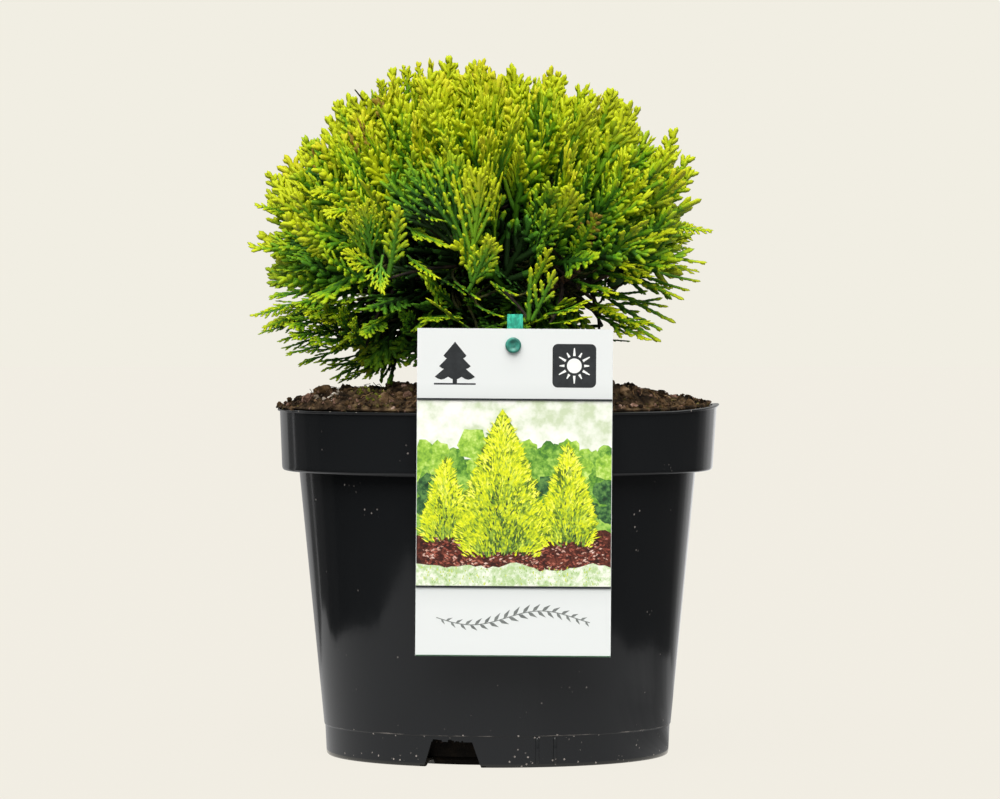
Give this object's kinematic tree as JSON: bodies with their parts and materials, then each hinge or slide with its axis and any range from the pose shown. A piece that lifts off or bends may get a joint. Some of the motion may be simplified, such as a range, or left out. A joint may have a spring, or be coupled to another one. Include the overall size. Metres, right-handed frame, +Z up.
{
  "type": "potted shrub",
  "caption": "Dense globe-shaped conifer with flat scaly sprays in a round black nursery pot, with a picture label hung on a stake.",
  "frame": {"origin": "on the pot's axis, in the plane of its flat underside", "axes": "+Z up, along the pot's axis; -Y is the front, where the label hangs; +X is to the right as seen from the front"},
  "size_m": [0.2006, 0.1995, 0.3],
  "materials": {
    "pot_plastic": "black, semi-gloss, moulded",
    "soil": "matt, crumbly peat",
    "label_card": "white plastic sheet, printed, satin",
    "stake_plastic": "teal green, moulded, satin",
    "bark": "matt, fissured bark",
    "foliage": "matt to satin scaly sprays, lime at the tips"
  },
  "bodies": {
    "root": {"pot": "pot_plastic", "soil": "soil", "label_card": "label_card", "label_stake": "stake_plastic", "trunk": "bark", "bough_top": "bark", "bough_upper_1": "bark", "bough_upper_2": "bark", "bough_upper_3": "bark", "bough_upper_4": "bark", "bough_upper_5": "bark", "bough_lower_1": "bark", "bough_lower_2": "bark", "bough_lower_3": "bark", "bough_lower_4": "bark", "bough_lower_5": "bark", "bough_lower_6": "bark", "bough_lower_7": "bark", "bough_lower_8": "bark", "foliage_top": "foliage", "foliage_upper_1": "foliage", "foliage_upper_2": "foliage", "foliage_upper_3": "foliage", "foliage_upper_4": "foliage", "foliage_upper_5": "foliage", "foliage_lower_1": "foliage", "foliage_lower_2": "foliage", "foliage_lower_3": "foliage", "foliage_lower_4": "foliage", "foliage_lower_5": "foliage", "foliage_lower_6": "foliage", "foliage_lower_7": "foliage", "foliage_lower_8": "foliage"}
  },
  "joints": []
}
